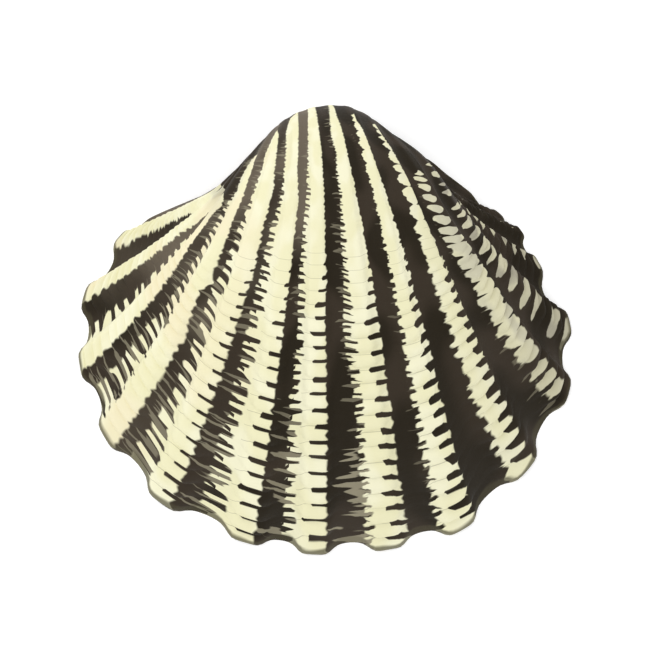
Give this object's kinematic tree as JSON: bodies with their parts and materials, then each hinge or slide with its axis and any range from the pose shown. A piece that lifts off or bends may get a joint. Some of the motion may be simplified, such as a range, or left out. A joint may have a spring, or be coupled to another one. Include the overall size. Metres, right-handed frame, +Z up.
{
  "type": "cardita shell valve",
  "caption": "One half of a rounded bivalve sea shell with strong radial ribs crossed by nodules, lying on its rim with the ribbed outside up and a hollow inside.",
  "frame": {"origin": "under the middle of the shell's box, on the plane that its rim rests on", "axes": "+X from the front end to the back end of the shell, the way the picture's right lies, +Y towards the beak, +Z up out of the ribbed side"},
  "size_m": [0.04, 0.0368, 0.0134],
  "materials": {
    "shell": "cream ribs over dark brown grooves, matt outside, smooth porcelain-like inside"
  },
  "bodies": {
    "root": {"valve": "shell"}
  },
  "joints": []
}
